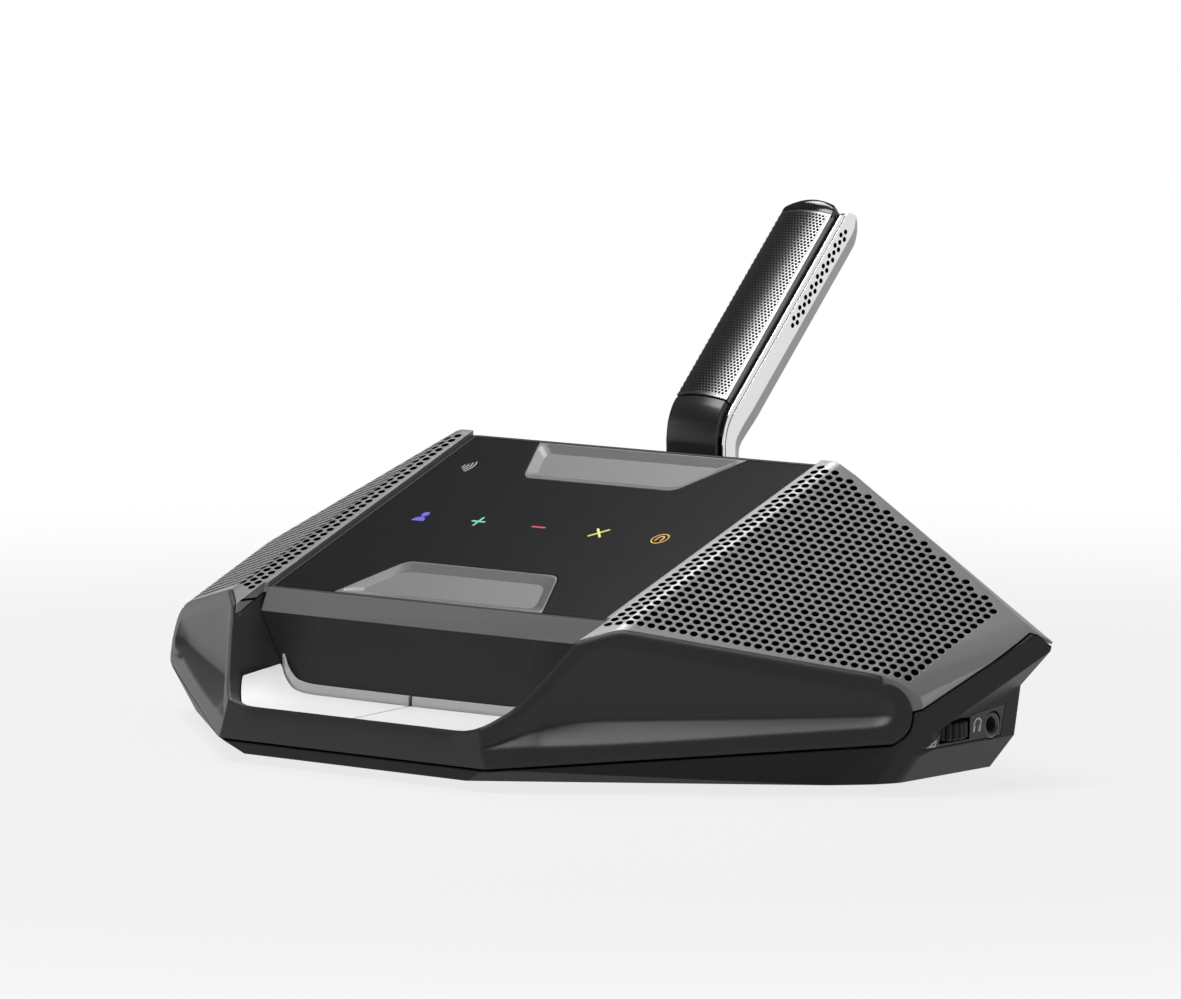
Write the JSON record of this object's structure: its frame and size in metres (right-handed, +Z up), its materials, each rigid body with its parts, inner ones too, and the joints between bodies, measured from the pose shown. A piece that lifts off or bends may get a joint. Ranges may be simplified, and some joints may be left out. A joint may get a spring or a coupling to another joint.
{
  "type": "conference delegate unit",
  "caption": "Dark grey table-top conference delegate unit with a sloping touch panel, perforated speaker wings, white talk keys and a leaning plug-in microphone.",
  "frame": {"origin": "on the table, under the centre of the whole unit's box, microphone included", "axes": "+X to the user's right, +Y to the back, +Z up; the user sits at -Y"},
  "size_m": [0.259, 0.174, 0.1287],
  "materials": {
    "cast_metal": "fine satin texture",
    "dark_plastic": "satin",
    "grey_plastic": "satin",
    "touch_glass": "satin black with printed icons",
    "satin_trim": "brushed satin",
    "bright_metal": "bright satin",
    "black_mesh": "fine mesh",
    "gloss_black": "polished",
    "circuit_board": "solder mask",
    "steel": "plain",
    "grille_metal": "satin, perforated",
    "white_plastic": "smooth",
    "light_plastic": "satin",
    "black_plastic": "fine",
    "rubber": "matte"
  },
  "bodies": {
    "housing": {"base_casting": "cast_metal", "front_bezel": "dark_plastic", "panel_carrier": "grey_plastic", "touch_panel": "touch_glass", "front_plaque": "satin_trim", "rear_plaque": "satin_trim", "rear_cover": "cast_metal", "key_board": "circuit_board", "main_board": "circuit_board", "touch_board": "circuit_board", "card_antenna": "circuit_board", "microphone_socket": "black_plastic", "grille_right": "grille_metal", "grille_left": "grille_metal", "key_dome_right": "rubber", "key_dome_left": "rubber", "volume_pot_right": "black_plastic", "volume_pot_left": "black_plastic", "headphone_jack_right": "black_plastic", "headphone_jack_left": "black_plastic", "side_plate_right": "light_plastic", "side_plate_left": "light_plastic", "control_board_right": "circuit_board", "control_board_left": "circuit_board", "speaker_gasket_right": "rubber", "speaker_gasket_left": "rubber", "speaker_right": "black_plastic", "speaker_left": "black_plastic", "speaker_magnet_right": "steel", "speaker_magnet_left": "steel", "network_socket_right": "steel", "network_socket_left": "steel", "foot_front_right": "rubber", "foot_front_left": "rubber", "foot_rear_right": "rubber", "foot_rear_left": "rubber", "screw_bezel_right": "steel", "screw_bezel_left": "steel", "screw_grille_right": "steel", "screw_grille_left": "steel", "screw_rear_right": "steel", "screw_rear_left": "steel"},
    "key_left_body": {"key_left": "white_plastic", "key_light_left": "light_plastic"},
    "key_right_body": {"key_right": "white_plastic", "key_light_right": "light_plastic"},
    "wheel_left_body": {"volume_wheel_left": "black_plastic"},
    "wheel_right_body": {"volume_wheel_right": "black_plastic"},
    "microphone": {"microphone_frame": "bright_metal", "microphone_cover": "dark_plastic", "microphone_mesh": "black_mesh", "microphone_cap": "gloss_black", "microphone_plug": "black_plastic", "microphone_board": "circuit_board", "microphone_capsule_1": "steel", "microphone_capsule_2": "steel"}
  },
  "joints": [
    {"name": "key_left_press", "type": "slide", "parent": "housing", "child": "key_left_body", "axis": [0, 0, -1], "range_m": [0, 0.0008], "stiffness_N_per_m": 800, "springref_m": -0.001, "deforming": ["key_dome_left"]},
    {"name": "key_right_press", "type": "slide", "parent": "housing", "child": "key_right_body", "axis": [0, 0, -1], "range_m": [0, 0.0008], "stiffness_N_per_m": 800, "springref_m": -0.001, "deforming": ["key_dome_right"]},
    {"name": "volume_left_turn", "type": "hinge", "parent": "housing", "child": "wheel_left_body", "pos_m": [-0.1142, -0.00875, 0.0141], "axis": [0, 0, 1], "range_deg": [-135, 135]},
    {"name": "volume_right_turn", "type": "hinge", "parent": "housing", "child": "wheel_right_body", "pos_m": [0.1142, -0.00875, 0.0141], "axis": [0, 0, 1], "range_deg": [-135, 135]},
    {"name": "microphone_lift", "type": "slide", "parent": "housing", "child": "microphone", "axis": [0, 0, 1], "range_m": [0, 0.012]}
  ]
}
